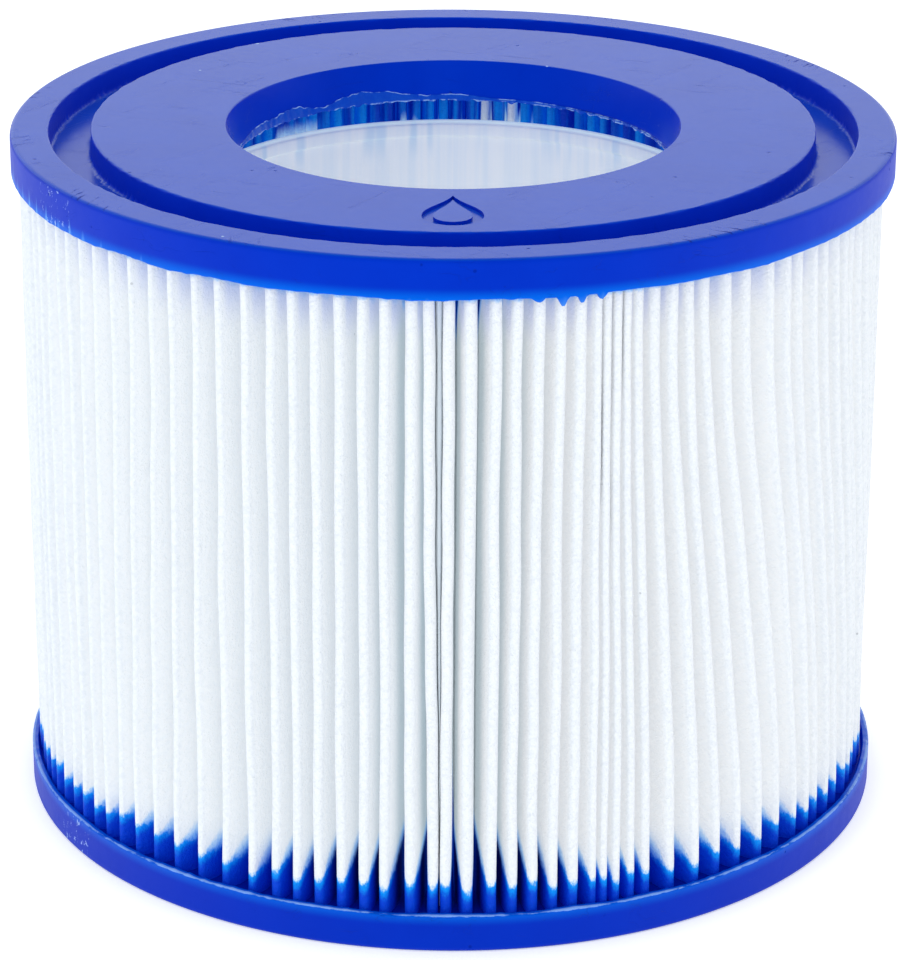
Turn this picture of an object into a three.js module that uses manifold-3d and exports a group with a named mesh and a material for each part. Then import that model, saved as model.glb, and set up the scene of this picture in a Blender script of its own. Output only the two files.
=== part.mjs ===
// A small cartridge filter for a spa or a portable pool, in millimetres, +Z up.
// A strip of white non-woven media, folded into pleats, stands round a plastic core tube.
// Both ends are potted in cast end caps, and an open bore runs through the middle.
// The origin is the centre of the bottom face, and the seam of the strip faces -Y.

import * as THREE from 'three';
import { mergeVertices } from 'three/addons/utils/BufferGeometryUtils.js';
import Module from 'manifold-3d';

const wasm = await Module();
wasm.setup();

// Driving dimensions.
const HEIGHT = 84;
const FIT_GAP = 0.3;
const ROUND_SEGMENTS = 72;

const CAP_RADIUS = 53;
const CAP_THICKNESS = 4.7;
const CAP_EDGE_CHAMFER = 0.3;
const CHANNEL_OUTER_RADIUS = 48.4;
const CHANNEL_INNER_RADIUS = 43.4;
const CHANNEL_DEPTH = 3;
const BORE_MOUTH_RADIUS = 27.3;
const BORE_THROAT_RADIUS = 26.2;
const SKIRT_WALL = 0.7;
const POCKET_DEPTH = 1.2;

const CORE_INNER_RADIUS = 32;
const CORE_WALL = 1.1;
const CORE_BAND_INNER_RADIUS = 31.6;
const CORE_BAND_HEIGHT = 2;
const CORE_TOP_GAP = 4.5;
const CORE_COLLAR_HEIGHT = 10;
const WINDOW_COLUMNS = 18;
const WINDOW_ROWS = 5;
const WINDOW_WIDTH = 8.2;
const WINDOW_RIB = 2.2;

const PLEAT_COUNT = 124;
const MEDIA_THICKNESS = 0.45;
const MEDIA_CORE_GAP = 0.4;
const CREST_HALF_WIDTH = 0.72;
const CREST_ROUNDING = 0.5;
const FOLD_HALF_GAP = 0.2;
const SEAM_HALF_WIDTH = 1.05;
const SEAM_BEAD_DEPTH = 8;

const MARK_RADIUS = 35.4;
const MARK_LENGTH = 11;
const MARK_WIDTH = 7;
const MARK_STROKE = 1.3;
const MARK_DEPTH = 0.4;

// Sizes that follow from them.
const POCKET_OUTER_RADIUS = CAP_RADIUS - SKIRT_WALL;
const POCKET_INNER_RADIUS = CORE_BAND_INNER_RADIUS - FIT_GAP;
const POCKET_FLOOR = CAP_THICKNESS - POCKET_DEPTH;
const POTTED_BOTTOM = POCKET_FLOOR + FIT_GAP;
const POTTED_TOP = HEIGHT - POCKET_FLOOR - FIT_GAP;
const CORE_OUTER_RADIUS = CORE_INNER_RADIUS + CORE_WALL;
const CORE_TOP = HEIGHT - CAP_THICKNESS - CORE_TOP_GAP;
const MEDIA_INNER_RADIUS = CORE_OUTER_RADIUS + MEDIA_CORE_GAP;
const MEDIA_OUTER_RADIUS = POCKET_OUTER_RADIUS - FIT_GAP;

const capPlastic = new THREE.MeshStandardMaterial({ color: 0x0630c8, roughness: 0.35, metalness: 0 });
const corePlastic = new THREE.MeshStandardMaterial({ color: 0xdfe9f2, roughness: 0.45, metalness: 0 });
const mediaFelt = new THREE.MeshStandardMaterial({ color: 0xf3f5f8, roughness: 0.95, metalness: 0 });
const seamAdhesive = new THREE.MeshStandardMaterial({ color: 0xece8dc, roughness: 0.5, metalness: 0 });

function toSolid(geometry) {
  const bare = geometry.index ? geometry.clone() : geometry;
  bare.deleteAttribute('normal');
  bare.deleteAttribute('uv');
  const merged = mergeVertices(bare, 1e-4);
  return new wasm.Manifold(new wasm.Mesh({
    numProp: 3,
    vertProperties: new Float32Array(merged.attributes.position.array),
    triVerts: new Uint32Array(merged.index.array),
  }));
}

function toGeometry(solid) {
  const mesh = solid.getMesh();
  const geometry = new THREE.BufferGeometry();
  geometry.setAttribute('position', new THREE.BufferAttribute(mesh.vertProperties, 3));
  geometry.setIndex(new THREE.BufferAttribute(mesh.triVerts, 1));
  geometry.computeVertexNormals();
  return geometry;
}

// Turns a closed outline of [radius, z] pairs round the Z axis.
// The outline runs anticlockwise, with the radius to the right and z upwards.
function turned(outline) {
  const points = outline.map(([radius, z]) => new THREE.Vector2(radius, z));
  points.push(points[0].clone());
  const geometry = new THREE.LatheGeometry(points, ROUND_SEGMENTS);
  geometry.rotateX(Math.PI / 2);
  return geometry;
}

// An end cap with its outer face at z = 0 and its pocket for the potted ends facing up.
function endCapOutline() {
  return [
    [CAP_RADIUS - CAP_EDGE_CHAMFER, 0],
    [CAP_RADIUS, CAP_EDGE_CHAMFER],
    [CAP_RADIUS, CAP_THICKNESS],
    [POCKET_OUTER_RADIUS, CAP_THICKNESS],
    [POCKET_OUTER_RADIUS, POCKET_FLOOR],
    [POCKET_INNER_RADIUS, POCKET_FLOOR],
    [POCKET_INNER_RADIUS, CAP_THICKNESS],
    [BORE_THROAT_RADIUS, CAP_THICKNESS],
    [BORE_MOUTH_RADIUS, 0],
    [CHANNEL_INNER_RADIUS, 0],
    [CHANNEL_INNER_RADIUS, CHANNEL_DEPTH],
    [CHANNEL_OUTER_RADIUS, CHANNEL_DEPTH],
    [CHANNEL_OUTER_RADIUS, 0],
  ];
}

function dropShape(length, width) {
  const shape = new THREE.Shape();
  const round = width / 2;
  const tip = length - round;
  shape.moveTo(0, tip);
  shape.bezierCurveTo(-round * 0.3, tip * 0.55, -round, round * 0.9, -round, 0);
  shape.absarc(0, 0, round, Math.PI, 2 * Math.PI, false);
  shape.bezierCurveTo(round, round * 0.9, round * 0.3, tip * 0.55, 0, tip);
  return shape;
}

// A sunk outline of a water drop, standing on the ring between the channel and the bore.
function markCutter() {
  const outer = dropShape(MARK_LENGTH, MARK_WIDTH);
  const inner = dropShape(MARK_LENGTH - 2.2 * MARK_STROKE, MARK_WIDTH - 2 * MARK_STROKE);
  outer.holes.push(new THREE.Path(inner.getPoints(5)));
  const cutter = new THREE.ExtrudeGeometry(outer, {
    depth: 2 * MARK_DEPTH, bevelEnabled: false, curveSegments: 6,
  });
  cutter.translate(0, -MARK_RADIUS - MARK_LENGTH / 2 + MARK_WIDTH / 2, HEIGHT - MARK_DEPTH);
  return toSolid(cutter);
}

function bottomEndCap() {
  return turned(endCapOutline());
}

function topEndCap() {
  const mirrored = endCapOutline().map(([radius, z]) => [radius, HEIGHT - z]).reverse();
  return toGeometry(toSolid(turned(mirrored)).subtract(markCutter()));
}

// The core is a plain tube with a thicker band at its open top and rows of square windows
// between two solid collars.
function coreTube() {
  const bandFoot = CORE_TOP - CORE_BAND_HEIGHT;
  let core = toSolid(turned([
    [CORE_INNER_RADIUS, POTTED_BOTTOM],
    [CORE_OUTER_RADIUS, POTTED_BOTTOM],
    [CORE_OUTER_RADIUS, CORE_TOP],
    [CORE_BAND_INNER_RADIUS, CORE_TOP],
    [CORE_BAND_INNER_RADIUS, bandFoot],
    [CORE_INNER_RADIUS, bandFoot],
  ]));
  const windowsFoot = POTTED_BOTTOM + CORE_COLLAR_HEIGHT;
  const windowsHead = CORE_TOP - CORE_COLLAR_HEIGHT;
  const rowPitch = (windowsHead - windowsFoot + WINDOW_RIB) / WINDOW_ROWS;
  for (let row = 0; row < WINDOW_ROWS; row += 1) {
    const centre = windowsFoot + row * rowPitch + (rowPitch - WINDOW_RIB) / 2;
    for (let column = 0; column < WINDOW_COLUMNS; column += 1) {
      const window = new THREE.BoxGeometry(4 * CORE_WALL, WINDOW_WIDTH, rowPitch - WINDOW_RIB);
      window.translate(CORE_INNER_RADIUS + CORE_WALL / 2, 0, centre);
      window.rotateZ(((column + 0.5) / WINDOW_COLUMNS) * 2 * Math.PI);
      core = core.subtract(toSolid(window));
    }
  }
  return toGeometry(core);
}

// A point at a sideways offset from the radial line at a given angle from -Y.
function besideRadius(angle, radius, offset) {
  const along = Math.sqrt(radius * radius - offset * offset);
  return new THREE.Vector2(
    along * Math.sin(angle) + offset * Math.cos(angle),
    -along * Math.cos(angle) + offset * Math.sin(angle),
  );
}

// One strip folded into pleats: its outer side is walked anticlockwise from the seam round
// to the seam again, then its inner side is walked back.
function pleatedMedia() {
  const pitch = (2 * Math.PI) / PLEAT_COUNT;
  const shoulder = MEDIA_OUTER_RADIUS - CREST_ROUNDING;
  const crestInside = MEDIA_OUTER_RADIUS - MEDIA_THICKNESS;
  const foldInside = MEDIA_INNER_RADIUS + MEDIA_THICKNESS;
  const foldHalfWidth = FOLD_HALF_GAP + MEDIA_THICKNESS;
  const legInside = SEAM_HALF_WIDTH - MEDIA_THICKNESS;
  const outerSide = [besideRadius(0, MEDIA_OUTER_RADIUS, SEAM_HALF_WIDTH)];
  const innerSide = [besideRadius(0, MEDIA_OUTER_RADIUS, legInside)];
  for (let pleat = 0; pleat < PLEAT_COUNT; pleat += 1) {
    const fold = (pleat + 0.5) * pitch;
    outerSide.push(besideRadius(fold, foldInside, -FOLD_HALF_GAP));
    outerSide.push(besideRadius(fold, foldInside, FOLD_HALF_GAP));
    innerSide.push(besideRadius(fold, MEDIA_INNER_RADIUS, -foldHalfWidth));
    innerSide.push(besideRadius(fold, MEDIA_INNER_RADIUS, foldHalfWidth));
    if (pleat < PLEAT_COUNT - 1) {
      const crest = (pleat + 1) * pitch;
      outerSide.push(besideRadius(crest, shoulder, -CREST_HALF_WIDTH));
      outerSide.push(besideRadius(crest, MEDIA_OUTER_RADIUS, -CREST_HALF_WIDTH / 2));
      outerSide.push(besideRadius(crest, MEDIA_OUTER_RADIUS, CREST_HALF_WIDTH / 2));
      outerSide.push(besideRadius(crest, shoulder, CREST_HALF_WIDTH));
      innerSide.push(besideRadius(crest, crestInside, MEDIA_THICKNESS - CREST_HALF_WIDTH));
      innerSide.push(besideRadius(crest, crestInside, CREST_HALF_WIDTH - MEDIA_THICKNESS));
    }
  }
  outerSide.push(besideRadius(0, MEDIA_OUTER_RADIUS, -SEAM_HALF_WIDTH));
  innerSide.push(besideRadius(0, MEDIA_OUTER_RADIUS, -legInside));
  const strip = new THREE.Shape([...outerSide, ...innerSide.reverse()]);
  const media = new THREE.ExtrudeGeometry(strip, {
    depth: POTTED_TOP - POTTED_BOTTOM, bevelEnabled: false,
  });
  media.translate(0, 0, POTTED_BOTTOM);
  return media;
}

// The wedge of adhesive that joins the two raw ends of the strip.
function seamBead() {
  const outerHalf = SEAM_HALF_WIDTH - MEDIA_THICKNESS - FIT_GAP;
  const innerHalf = outerHalf / 3;
  const outerRadius = MEDIA_OUTER_RADIUS - FIT_GAP;
  const innerRadius = outerRadius - SEAM_BEAD_DEPTH;
  const bead = new THREE.ExtrudeGeometry(new THREE.Shape([
    besideRadius(0, outerRadius, outerHalf),
    besideRadius(0, innerRadius, innerHalf),
    besideRadius(0, innerRadius, -innerHalf),
    besideRadius(0, outerRadius, -outerHalf),
  ]), { depth: POTTED_TOP - POTTED_BOTTOM, bevelEnabled: false });
  bead.translate(0, 0, POTTED_BOTTOM);
  return bead;
}

function named(name, geometry, material) {
  const mesh = new THREE.Mesh(geometry, material);
  mesh.name = name;
  return mesh;
}

const cartridge = new THREE.Group();
cartridge.add(
  named('bottom_end_cap', bottomEndCap(), capPlastic),
  named('top_end_cap', topEndCap(), capPlastic.clone()),
  named('core_tube', coreTube(), corePlastic),
  named('pleated_media', pleatedMedia(), mediaFelt),
  named('media_seam', seamBead(), seamAdhesive),
);

export default cartridge;
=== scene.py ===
"""Looks of a small cartridge filter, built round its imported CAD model.

Shapes are worked out in millimetres round the cartridge's axis, and become metres when a mesh
is made. Angles are measured in degrees from the front, -Y, towards +X.
"""

import math

import bpy
import numpy as np
from mathutils import Matrix, Vector


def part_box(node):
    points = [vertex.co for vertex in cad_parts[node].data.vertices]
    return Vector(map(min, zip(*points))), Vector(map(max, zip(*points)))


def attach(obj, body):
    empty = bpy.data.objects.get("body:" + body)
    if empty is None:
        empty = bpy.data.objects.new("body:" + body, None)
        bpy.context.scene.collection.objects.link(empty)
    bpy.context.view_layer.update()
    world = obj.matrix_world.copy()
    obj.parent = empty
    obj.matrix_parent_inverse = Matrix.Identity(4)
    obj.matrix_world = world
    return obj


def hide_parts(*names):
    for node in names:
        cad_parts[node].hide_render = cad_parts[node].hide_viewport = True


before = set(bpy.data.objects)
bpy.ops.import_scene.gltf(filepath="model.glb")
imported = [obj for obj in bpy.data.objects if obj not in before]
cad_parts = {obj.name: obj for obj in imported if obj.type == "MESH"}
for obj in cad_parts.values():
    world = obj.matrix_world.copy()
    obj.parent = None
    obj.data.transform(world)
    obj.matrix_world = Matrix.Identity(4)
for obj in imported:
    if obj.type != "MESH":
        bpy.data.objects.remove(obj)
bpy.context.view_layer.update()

MM = 0.001

# Sizes that the frame gives, in millimetres.
cap_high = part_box("bottom_end_cap")[1] / MM
core_low, core_high = (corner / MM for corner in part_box("core_tube"))
media_low, media_high = (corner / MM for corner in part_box("pleated_media"))
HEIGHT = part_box("top_end_cap")[1].z / MM
CAP_RADIUS = cap_high.x
CAP_THICKNESS = cap_high.z
CORE_OUTER_RADIUS = core_high.x
CORE_FOOT, CORE_TOP = core_low.z, core_high.z
MEDIA_RADIUS = media_high.x
MEDIA_FOOT, MEDIA_TOP = media_low.z, media_high.z

# The end caps. THIN_EDGE and GLOW_HEIGHT are measured from a band's open edge.
CHANNEL_OUTER_RADIUS = 48.4
CHANNEL_INNER_RADIUS = 43.4
CHANNEL_DEPTH = 3.0
BORE_MOUTH_RADIUS = 27.3
BORE_THROAT_RADIUS = 26.2
LIP_INNER_RADIUS = CAP_RADIUS - 0.75
POOL_LEVEL = MEDIA_FOOT + 0.05
CAP_STEPS = 1080
CORNER_STEPS = 4
FLAT_FROM = 1.35
THIN_EDGE = 1.5
GLOW_HEIGHT = 4.0
SCUFF_X = -45.3

# The sunk water drop on the upper cap.
MARK_RADIUS = 35.4
MARK_LENGTH = 11.0
MARK_WIDTH = 7.0
MARK_STROKE = 1.3
MARK_DEPTH = 0.4
MARK_STEPS = 24

# The torn film in the upper bore.
FLASH_ANGLE = 216
FLASH_SPREAD = 31

# The core tube.
CORE_WALL = 1.1
CORE_BAND_INNER_RADIUS = CORE_OUTER_RADIUS - 1.5
CORE_BAND_HEIGHT = 2.0
CORE_RIM_CHAMFER = 0.5
CORE_RIM_WIDTH = 0.2
CORE_EDGE_ROUNDING = 0.16
CORE_COLLAR_HEIGHT = 10.0
WINDOW_COLUMNS = 18
WINDOW_ROWS = 5
WINDOW_WIDTH = 8.2
WINDOW_RIB = 2.2

# The pleated strip.
SHEET_THICKNESS = 0.45
FOLD_RADIUS = CORE_OUTER_RADIUS + 0.4
PINCH_RADIUS = 44.5
SHALLOW_PINCH_RADIUS = 48.0
PINCH_GAP = 0.1
MEDIA_LEVELS = 26
RIGHT_END_ANGLE = -0.5
LEFT_END_ANGLE = -2.6
END_RETURN = 5.0
BACK_START = 100.0
BACK_PITCH = 2.95
FOLD_BEND = 0.36
WALL_CLEARANCE = 0.03

# How far the inner folds follow the crests' drift; how far a crest sways, as a share of its
# gap; and how much of the room a crest may take to bend, and a valley to pinch.
FOLD_TWIST = 0.85
SWAY_SHARE = 0.035
BEND_SHARE = 0.40
PINCH_SHARE = 0.25

# Inner folds at the back that stayed dry: where they are along X, and half their width.
DRY_FOLDS = ((4.3, 0.9), (7.6, 0.8))

# The bead of adhesive in the seam: the radii of its crowns and edges, how wide a crown is as a
# share of the bead, and how near the bead comes to the middle of the crests beside it.
SEAM_OUTER_CROWN, SEAM_OUTER_EDGE = 48.9, 48.6
SEAM_INNER_EDGE, SEAM_INNER_CROWN = 44.4, 44.1
SEAM_CROWN_SHARE = 0.4
SEAM_SETBACK = 0.64

# The camera, in millimetres and degrees.
CAMERA_DISTANCE = 487.95
CAMERA_ELEVATION = 21.51
CAMERA_ROLL = 0.26
CAMERA_AIM = (0.155, 0.0, 37.68)
LENS_LENGTH = 147.1
SENSOR_WIDTH = 36.0

# The studio, in metres but for the ambient reach.
AMBIENT_REACH = 0.3
LIGHT_AIM = (0, 0, 0.04)
FLOOR_HALF = 3.0


def smooth(value, low, high):
    """Rises smoothly from 0 at low to 1 at high."""
    t = np.clip((value - low) / (high - low), 0, 1)
    return t * t * (3 - 2 * t)


def hump(value, centre, width):
    return np.exp(-(((value - centre) / width) ** 2))


def wrapped(angle):
    """The same direction, from -180 to 180 degrees."""
    return (np.asarray(angle) + 180) % 360 - 180


def ripple(angle, rng, slowest, fastest, count):
    """A seeded waviness round the axis that closes on itself, with a spread of about 1."""
    total = np.zeros_like(angle)
    for _ in range(count):
        turns = rng.integers(slowest, fastest + 1)
        total += np.cos(np.radians(angle) * turns + rng.uniform(0, 2 * np.pi))
    return total / math.sqrt(count / 2)


def placed(angle, radius, z):
    """Points in millimetres from an angle in degrees, a radius and a height."""
    turn = np.radians(angle)
    return np.stack(np.broadcast_arrays(radius * np.sin(turn), -radius * np.cos(turn), z), -1)


def add_piece(name, points, faces, material, nodes):
    """A new mesh piece of the object, from points in millimetres."""
    mesh = bpy.data.meshes.new(name)
    mesh.from_pydata((np.asarray(points).reshape(-1, 3) * MM).tolist(), [], faces)
    mesh.update()
    mesh.materials.append(material)
    piece = bpy.data.objects.new(name, mesh)
    bpy.context.scene.collection.objects.link(piece)
    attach(piece, "root")
    if nodes:
        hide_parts(*nodes)
    return piece


def store(piece, name, values):
    """A number for each point of a piece, for its material to read."""
    attribute = piece.data.attributes.new(name, "FLOAT", "POINT")
    attribute.data.foreach_set("value", np.asarray(values, np.float32))


def shade(piece, sharp_angle):
    """Smooth shading that stays crisp where faces meet at more than an angle."""
    piece.data.shade_smooth()
    piece.data.set_sharp_from_angle(angle=math.radians(sharp_angle))


def apply_modifiers(piece):
    bpy.context.view_layer.update()
    evaluated = piece.evaluated_get(bpy.context.evaluated_depsgraph_get())
    mesh = bpy.data.meshes.new_from_object(evaluated)
    piece.modifiers.clear()
    piece.data = mesh


def ring_faces(rows, columns, close_rows):
    """Quads over a grid of points whose columns run round the axis."""
    faces = []
    for row in range(rows if close_rows else rows - 1):
        below, above = row * columns, (row + 1) % rows * columns
        for column in range(columns):
            after = (column + 1) % columns
            faces.append((below + column, below + after, above + after, above + column))
    return faces


# Materials ---------------------------------------------------------------------------------


class Graph:
    """A material's node graph: each call adds a node and returns its output."""

    def __init__(self, name):
        self.material = bpy.data.materials.new(name)
        self.material.use_nodes = True
        self.tree = self.material.node_tree
        self.shader = self.tree.nodes["Principled BSDF"]
        coordinates = self.node("ShaderNodeTexCoord").outputs["Object"]
        self.place = self.scaled(coordinates, (1 / MM, 1 / MM, 1 / MM))
        parts = self.node("ShaderNodeSeparateXYZ", {"Vector": self.place}).outputs
        self.x, self.y, self.z = parts["X"], parts["Y"], parts["Z"]

    def node(self, kind, inputs=None, **settings):
        node = self.tree.nodes.new(kind)
        for key, value in settings.items():
            setattr(node, key, value)
        for key, value in (inputs or {}).items():
            self.feed(node.inputs[key], value)
        return node

    def feed(self, socket, value):
        if isinstance(value, bpy.types.NodeSocket):
            self.tree.links.new(value, socket)
        else:
            socket.default_value = value

    def math(self, operation, first, second=0.0, clamp=False):
        inputs = {0: first, 1: second}
        return self.node("ShaderNodeMath", inputs, operation=operation, use_clamp=clamp).outputs[0]

    def chain(self, operation, values):
        result = values[0]
        for value in values[1:]:
            result = self.math(operation, result, value)
        return result

    def plus(self, *values):
        return self.chain("ADD", values)

    def minus(self, first, second, clamp=False):
        return self.math("SUBTRACT", first, second, clamp)

    def times(self, *values):
        return self.chain("MULTIPLY", values)

    def most(self, *values):
        return self.chain("MAXIMUM", values)

    def away(self, value, centre):
        """How far a value is from a centre, on either side."""
        return self.math("ABSOLUTE", self.minus(value, centre))

    def scaled(self, vector, scale):
        node = self.node("ShaderNodeVectorMath", {0: vector, 1: scale}, operation="MULTIPLY")
        return node.outputs["Vector"]

    def combine(self, x, y, z):
        return self.node("ShaderNodeCombineXYZ", {"X": x, "Y": y, "Z": z}).outputs["Vector"]

    def stretched(self, scale, turn=(0, 0, 0), vector=None):
        """The place, or another vector, turned and then scaled along each axis."""
        turned = self.node("ShaderNodeMapping", {"Vector": vector or self.place, "Rotation": turn})
        return self.scaled(turned.outputs["Vector"], scale)

    def noise(self, vector, scale=1.0, detail=2.0, roughness=0.5):
        inputs = {"Vector": vector, "Scale": scale, "Detail": detail, "Roughness": roughness}
        return self.node("ShaderNodeTexNoise", inputs).outputs["Fac"]

    def dots(self, scale, size, share):
        """1 inside scattered dots; share is the part of the cells of a grid that have one."""
        node = self.node("ShaderNodeTexVoronoi", {"Vector": self.place, "Scale": scale})
        chance = self.node("ShaderNodeSeparateColor", {"Color": node.outputs["Color"]})
        edge, soft_edge = size
        kept = self.rise(chance.outputs["Red"], 1 - share, 1.02 - share)
        return self.times(self.rise(node.outputs["Distance"], soft_edge, edge), kept)

    def attribute(self, name):
        """A number that the mesh stores at each of its points."""
        return self.node("ShaderNodeAttribute", attribute_name=name).outputs["Fac"]

    def rise(self, value, low, high):
        """0 below low, 1 above high, and smooth between; low may be above high."""
        inputs = {"Value": value, "From Min": low, "From Max": high}
        node = self.node("ShaderNodeMapRange", inputs, interpolation_type="SMOOTHSTEP")
        return node.outputs["Result"]

    def blend(self, share, first, second):
        node = self.node("ShaderNodeMix", data_type="RGBA", clamp_factor=True)
        colours = [socket for socket in node.inputs if socket.type == "RGBA"]
        self.feed(node.inputs["Factor"], share)
        self.feed(colours[0], first)
        self.feed(colours[1], second)
        return next(socket for socket in node.outputs if socket.type == "RGBA")

    def level(self):
        """1 where the surface lies level, and 0 where it stands upright."""
        normal = self.node("ShaderNodeTexCoord").outputs["Normal"]
        upward = self.node("ShaderNodeSeparateXYZ", {"Vector": normal}).outputs["Z"]
        return self.rise(self.math("ABSOLUTE", upward), 0.5, 0.9)

    def radius(self):
        squares = self.plus(self.math("POWER", self.x, 2), self.math("POWER", self.y, 2))
        return self.math("SQRT", squares)

    def round_trip(self):
        """Coordinates that run along the rim, outwards and up, in millimetres."""
        angle = self.math("ARCTAN2", self.x, self.times(self.y, -1.0))
        return self.combine(self.times(angle, CAP_RADIUS), self.radius(), self.z)

    def bump(self, height, depth):
        """Height of 0 to 1 as a relief of depth millimetres."""
        inputs = {"Height": height, "Distance": depth * MM, "Strength": 1.0}
        self.feed(self.shader.inputs["Normal"], self.node("ShaderNodeBump", inputs).outputs[0])

    def set(self, **values):
        for key, value in values.items():
            self.feed(self.shader.inputs[key.replace("_", " ")], value)


def scratches(graph, turn, spacing, width):
    """Thin broken lines across the surface: 1 on a line and 0 beside it."""
    lines = graph.noise(graph.stretched((0.03, 1 / spacing, 1 / spacing), turn))
    gaps = graph.noise(graph.stretched((0.09, 0.35, 0.35), turn), detail=1.0)
    return graph.times(graph.rise(graph.away(lines, 0.5), width, 0.0), graph.rise(gaps, 0.56, 0.66))


def resin_tint(graph, radius, edge_up, low, level):
    """The resin's blue, with painted light and shade.

    It is paler at the thin open edge of the band and darker on the lower cap. A painted sheen
    makes it paler where it lies level, a painted glow makes it paler over the crests that lie
    just under the band, and painted shade darkens it where it has pooled between the pleats.
    """
    cloud = graph.noise(graph.place, scale=0.11, detail=3.0, roughness=0.6)
    upright_blue = graph.blend(cloud, (0.0, 0.022, 0.46, 1), (0.0, 0.034, 0.56, 1))
    # Painted sheen: level faces get a paler blue that stands in for the bright studio they reflect.
    painted_level_sheen = graph.blend(cloud, (0.0, 0.046, 0.45, 1), (0.0, 0.066, 0.56, 1))
    colour = graph.blend(level, upright_blue, painted_level_sheen)
    on_band = graph.rise(radius, 52.0, 52.7)
    thin = graph.times(graph.rise(edge_up, THIN_EDGE, 0.0), on_band, 0.8)
    colour = graph.blend(thin, colour, (0.0, 0.15, 0.80, 1))
    # Painted shade: the inner faces between the pleats are darkened as if in shadow.
    painted_pool_shade = graph.times(graph.rise(radius, 52.15, 51.9), graph.rise(radius, 33.0, 34.0),
                       graph.rise(edge_up, THIN_EDGE, 1.3))
    colour = graph.blend(painted_pool_shade, colour, (0.0, 0.012, 0.25, 1))
    colour = graph.blend(graph.times(low, 0.3), colour, (0.0, 0.014, 0.34, 1))
    # Painted glow: paler blue over the crests under the band, where light would show through.
    painted_glow = graph.attribute("crest_glow")
    fade = graph.minus(1.0, graph.math("DIVIDE", edge_up, graph.times(painted_glow, GLOW_HEIGHT)))
    shine = graph.math("MULTIPLY", graph.times(painted_glow, on_band), fade, clamp=True)
    return graph.blend(shine, colour, (0.22, 0.58, 0.98, 1))


def resin_marks(graph, along, radius, edge_up):
    """Faint scratches and pits all over, and dark nicks where the flat rim was knocked."""
    cuts = graph.most(scratches(graph, turn=(0, 0, 0.35), spacing=1.6, width=0.003),
                      scratches(graph, turn=(0, 0, -0.9), spacing=2.3, width=0.0025))
    pits = graph.dots(scale=0.35, size=(0.05, 0.09), share=0.2)
    slanted = graph.noise(graph.stretched((2.2, 0.28, 0.0), (0, 0, 0.5), along))
    gathered = graph.noise(graph.stretched((0.05, 0, 0), vector=along), detail=1.0)
    on_top = graph.rise(edge_up, CAP_THICKNESS - 0.25, CAP_THICKNESS - 0.1)
    on_rim = graph.rise(radius, 49.9, 52.4)
    nicks = graph.times(graph.rise(slanted, 0.60, 0.63), graph.rise(gathered, 0.5, 0.62),
                        on_rim, on_top, 0.9)
    return graph.most(graph.times(cuts, 0.4), graph.times(pits, 0.6), nicks)


def resin_flecks(graph, radius):
    """Pale bubbles here and there, and pale scuffs in one place on each band."""
    bubbles = graph.dots(scale=0.16, size=(0.03, 0.05), share=0.14)
    flakes = graph.noise(graph.stretched((1.9, 1.9, 1.3)), detail=3.0, roughness=0.7)
    scuffed = graph.times(graph.rise(graph.away(graph.x, SCUFF_X), 2.2, 1.2),
                          graph.rise(graph.y, 0.0, -9.0), graph.rise(radius, 52.9, 52.98), 0.8)
    scuffs = graph.times(graph.rise(flakes, 0.60, 0.66), scuffed)
    return graph.times(graph.most(bubbles, scuffs), 0.9)


def resin_lip(graph, along, radius, edge_up, low):
    """The ragged pale edge of the lower band."""
    ragged = graph.noise(graph.stretched((0.9, 3.0, 4.0), vector=along), detail=4.0, roughness=0.7)
    reach = graph.minus(graph.times(ragged, 0.5), 0.08)
    lip = graph.rise(graph.minus(reach, edge_up), 0.0, 0.1)
    return graph.times(lip, graph.rise(radius, 52.6, 52.8), low, 0.55)


def cap_resin():
    """Royal-blue cast resin, semi-gloss, with the small faults of a moulded cap."""
    graph = Graph("cap_resin")
    radius, along, level = graph.radius(), graph.round_trip(), graph.level()
    edge_up = graph.minus(graph.away(graph.z, HEIGHT / 2), HEIGHT / 2 - CAP_THICKNESS)
    low = graph.rise(graph.z, 12.0, 8.0)
    marks = resin_marks(graph, along, radius, edge_up)
    colour = resin_tint(graph, radius, edge_up, low, level)
    colour = graph.blend(marks, colour, (0.0, 0.012, 0.26, 1))
    colour = graph.blend(resin_flecks(graph, radius), colour, (0.55, 0.75, 0.98, 1))
    lip = resin_lip(graph, along, radius, edge_up, low)
    colour = graph.blend(lip, colour, (0.36, 0.58, 0.95, 1))

    mottle = graph.noise(graph.place, scale=0.8, detail=3.0, roughness=0.6)
    upright = graph.minus(graph.rise(radius, 32.0, 36.0), level, clamp=True)
    roughness = graph.plus(0.17, graph.times(mottle, 0.12), graph.times(marks, 0.45),
                           graph.times(upright, 0.3))
    graph.set(Base_Color=colour, Roughness=roughness, IOR=1.4, Specular_Tint=(0.02, 0.16, 1.0, 1))
    graph.bump(graph.minus(graph.times(mottle, 0.25), marks), 0.06)
    return graph.material


def resin_film():
    """Thin resin, a little paler than the caps' and whitened in places along its torn edge."""
    graph = Graph("resin_film")
    cloud = graph.noise(graph.place, scale=0.7, detail=3.0, roughness=0.6)
    colour = graph.blend(cloud, (0.0, 0.035, 0.50, 1), (0.01, 0.10, 0.60, 1))
    torn = graph.rise(graph.attribute("torn_edge"), 0.35, 0.9)
    whitened = graph.times(torn, graph.rise(cloud, 0.46, 0.60), 0.75)
    colour = graph.blend(whitened, colour, (0.40, 0.62, 0.95, 1))
    graph.set(Base_Color=colour, Roughness=0.22, IOR=1.5, Specular_Tint=(0.1, 0.3, 1.0, 1))
    graph.bump(cloud, 0.08)
    return graph.material


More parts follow.
